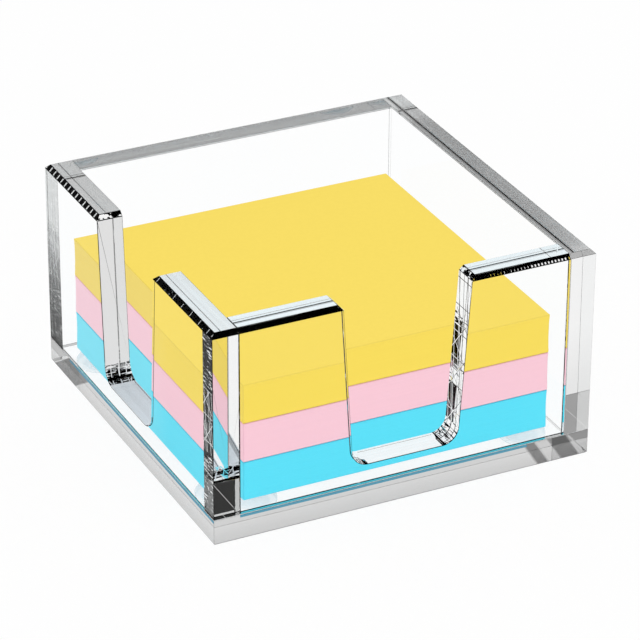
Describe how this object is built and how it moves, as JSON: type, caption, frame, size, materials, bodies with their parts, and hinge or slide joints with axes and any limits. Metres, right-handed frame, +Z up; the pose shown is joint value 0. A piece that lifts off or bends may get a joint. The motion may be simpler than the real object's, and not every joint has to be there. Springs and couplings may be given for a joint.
{
  "type": "memo pad holder",
  "caption": "Open box of thick clear plastic plates with a finger notch in two walls, clear bumper feet and a stack of square note pads that lift out.",
  "frame": {"origin": "centre of the footprint, on the surface that the feet stand on", "axes": "+X to the right along the notched front wall, +Y to the back, +Z up"},
  "size_m": [0.094, 0.094, 0.0538],
  "materials": {
    "clear_acrylic": "polished, clear",
    "clear_rubber": "clear, slightly soft",
    "blue_paper": "matt",
    "pink_paper": "matt",
    "yellow_paper": "matt"
  },
  "bodies": {
    "holder": {"base_plate": "clear_acrylic", "left_wall": "clear_acrylic", "right_wall": "clear_acrylic", "front_wall": "clear_acrylic", "back_wall": "clear_acrylic", "foot_front_left": "clear_rubber", "foot_front_right": "clear_rubber", "foot_back_left": "clear_rubber", "foot_back_right": "clear_rubber"},
    "blue_pad": {"blue_pad": "blue_paper"},
    "pink_pad": {"pink_pad": "pink_paper"},
    "yellow_pad": {"yellow_pad": "yellow_paper"}
  },
  "joints": [
    {"name": "blue_pad_lift", "type": "slide", "parent": "holder", "child": "blue_pad", "axis": [0, 0, 1], "range_m": [0, 0.05]},
    {"name": "pink_pad_lift", "type": "slide", "parent": "blue_pad", "child": "pink_pad", "axis": [0, 0, 1], "range_m": [0, 0.04]},
    {"name": "yellow_pad_lift", "type": "slide", "parent": "pink_pad", "child": "yellow_pad", "axis": [0, 0, 1], "range_m": [0, 0.03]}
  ]
}
